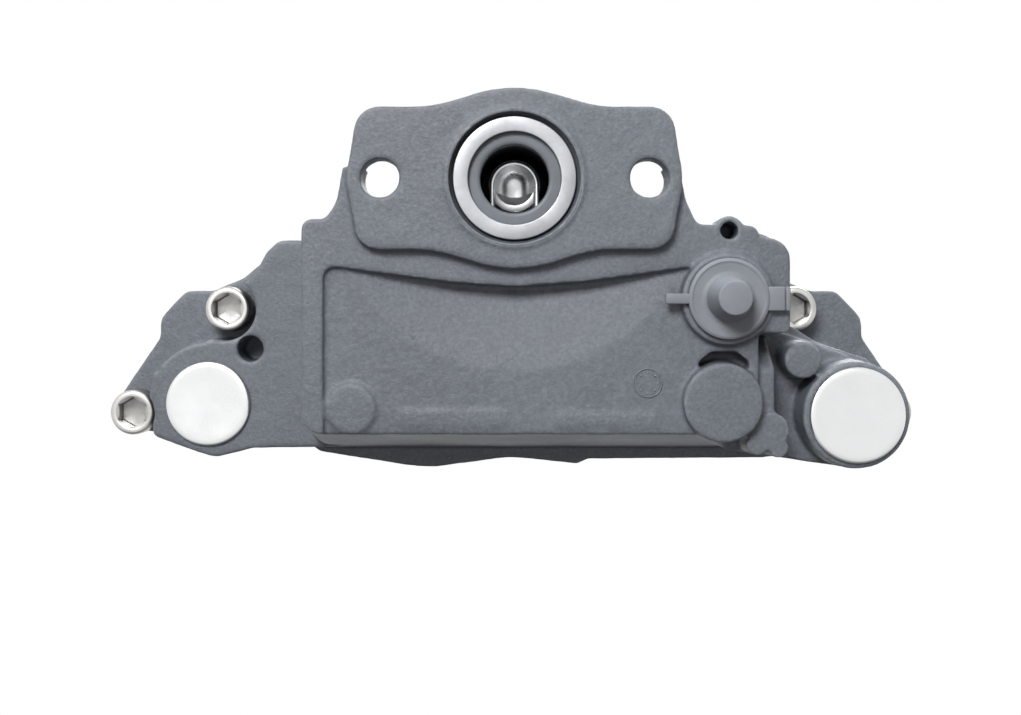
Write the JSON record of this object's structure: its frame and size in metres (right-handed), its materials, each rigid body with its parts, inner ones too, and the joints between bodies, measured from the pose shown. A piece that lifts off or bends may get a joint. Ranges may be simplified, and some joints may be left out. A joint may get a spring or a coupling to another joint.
{
  "type": "air disc brake caliper",
  "caption": "Floating air disc brake caliper for a heavy vehicle, with its carrier, guide pins, pads, lever mechanism and adjuster.",
  "frame": {"origin": "middle of the carrier foot's face, where it meets the axle", "axes": "+Z away from the axle, +Y towards the wheel along the disc's axis, +X to the right as seen from the actuator side"},
  "size_m": [0.428, 0.3276, 0.1844],
  "materials": {
    "cast_paint": "satin paint over rough casting",
    "carrier_paint": "satin paint over rough casting",
    "machined_steel": "machined",
    "grey_shield": "satin",
    "polished_cap": "bright pressed",
    "zinc_bolt": "bright zinc",
    "brass": "plain",
    "black_rubber": "matte",
    "grey_rubber": "satin, painted over",
    "forged_steel": "forged and ground",
    "bearing_steel": "ground",
    "gear_steel": "cut",
    "spring_steel": "satin",
    "plated_plate": "zinc plated",
    "backing_paint": "semi-gloss",
    "friction_lining": "rough"
  },
  "bodies": {
    "carrier": {"carrier": "carrier_paint", "guide_sleeve_long": "machined_steel", "guide_sleeve_short": "machined_steel", "sleeve_bolts": "zinc_bolt"},
    "caliper": {"housing": "cast_paint", "bridge": "cast_paint", "bridge_bolts": "zinc_bolt", "port_seat_ring": "machined_steel", "port_inner_ring": "grey_shield", "end_cap_long": "polished_cap", "end_cap_short": "polished_cap", "long_guide_bushes": "brass", "short_guide_bush": "black_rubber", "pin_seal_left": "black_rubber", "pin_seal_right": "black_rubber", "bearing_shells": "bearing_steel", "cover_plate": "plated_plate", "cover_screws": "zinc_bolt", "stem_bush": "brass", "stem_bearing": "bearing_steel", "pad_retainer_strap": "spring_steel", "pad_retainer_screw": "zinc_bolt", "return_springs": "spring_steel", "tappet_boot_left": "black_rubber", "tappet_boot_right": "black_rubber"},
    "lever": {"operating_lever": "forged_steel", "eccentric_roller": "machined_steel"},
    "crosshead": {"crosshead": "forged_steel", "idler_pin": "machined_steel"},
    "idler": {"idler_gear": "gear_steel"},
    "adjuster": {"adjuster_stem": "gear_steel"},
    "gear_sleeve_left": {"gear_sleeve_left": "gear_steel"},
    "gear_sleeve_right": {"gear_sleeve_right": "gear_steel"},
    "tappet_left": {"tappet_left": "machined_steel"},
    "tappet_right": {"tappet_right": "machined_steel"},
    "cap": {"adjuster_cap": "grey_rubber"},
    "inner_pad": {"inner_backing_plate": "backing_paint", "inner_friction_block": "friction_lining", "inner_pad_spring": "spring_steel"},
    "outer_pad": {"outer_backing_plate": "backing_paint", "outer_friction_block": "friction_lining", "outer_pad_spring": "spring_steel"}
  },
  "joints": [
    {"name": "caliper_slide", "type": "slide", "parent": "carrier", "child": "caliper", "axis": [0, -1, 0], "range_m": [0, 0.018]},
    {"name": "lever_swing", "type": "hinge", "parent": "caliper", "child": "lever", "pos_m": [0, -0.11325, 0.056], "axis": [-1, 0, 0], "range_deg": [0, 22], "stiffness_Nm_per_rad": 3, "springref_deg": -5.73},
    {"name": "crosshead_slide", "type": "slide", "parent": "caliper", "child": "crosshead", "axis": [0, 1, 0], "range_m": [0, 0.0022], "deforming": ["return_springs"]},
    {"name": "adjuster_turn", "type": "hinge", "parent": "caliper", "child": "adjuster", "pos_m": [0.0978, -0.11925, 0.08042], "axis": [0, -1, 0], "range_deg": [0, 1080]},
    {"name": "idler_turn", "type": "hinge", "parent": "crosshead", "child": "idler", "pos_m": [0, -0.07325, 0.056], "axis": [0, -1, 0], "range_deg": [0, 540]},
    {"name": "gear_sleeve_left_turn", "type": "hinge", "parent": "crosshead", "child": "gear_sleeve_left", "pos_m": [-0.06, -0.07325, 0.056], "axis": [0, -1, 0], "range_deg": [-540, 0]},
    {"name": "gear_sleeve_right_turn", "type": "hinge", "parent": "crosshead", "child": "gear_sleeve_right", "pos_m": [0.06, -0.07325, 0.056], "axis": [0, -1, 0], "range_deg": [-540, 0]},
    {"name": "tappet_left_slide", "type": "slide", "parent": "crosshead", "child": "tappet_left", "axis": [0, 1, 0], "range_m": [0, 0.018], "deforming": ["tappet_boot_left"]},
    {"name": "tappet_right_slide", "type": "slide", "parent": "crosshead", "child": "tappet_right", "axis": [0, 1, 0], "range_m": [0, 0.018], "deforming": ["tappet_boot_right"]},
    {"name": "cap_pull", "type": "slide", "parent": "caliper", "child": "cap", "axis": [0, -1, 0], "range_m": [0, 0.04]},
    {"name": "inner_pad_slide", "type": "slide", "parent": "carrier", "child": "inner_pad", "axis": [0, 1, 0], "range_m": [0, 0.018]},
    {"name": "outer_pad_slide", "type": "slide", "parent": "carrier", "child": "outer_pad", "axis": [0, -1, 0], "range_m": [0, 0.018]}
  ],
  "couplings": [
    {"joint": "crosshead_slide", "follows": "lever_swing", "m_per_rad": 0.0057},
    {"joint": "tappet_right_slide", "follows": "tappet_left_slide", "ratio": 1},
    {"joint": "inner_pad_slide", "follows": "tappet_left_slide", "ratio": 1},
    {"joint": "gear_sleeve_left_turn", "follows": "tappet_left_slide", "rad_per_m": -523.6},
    {"joint": "gear_sleeve_right_turn", "follows": "tappet_left_slide", "rad_per_m": -523.6},
    {"joint": "idler_turn", "follows": "tappet_left_slide", "rad_per_m": 523.6},
    {"joint": "adjuster_turn", "follows": "tappet_left_slide", "rad_per_m": 1047.2},
    {"joint": "outer_pad_slide", "follows": "caliper_slide", "ratio": 1}
  ]
}
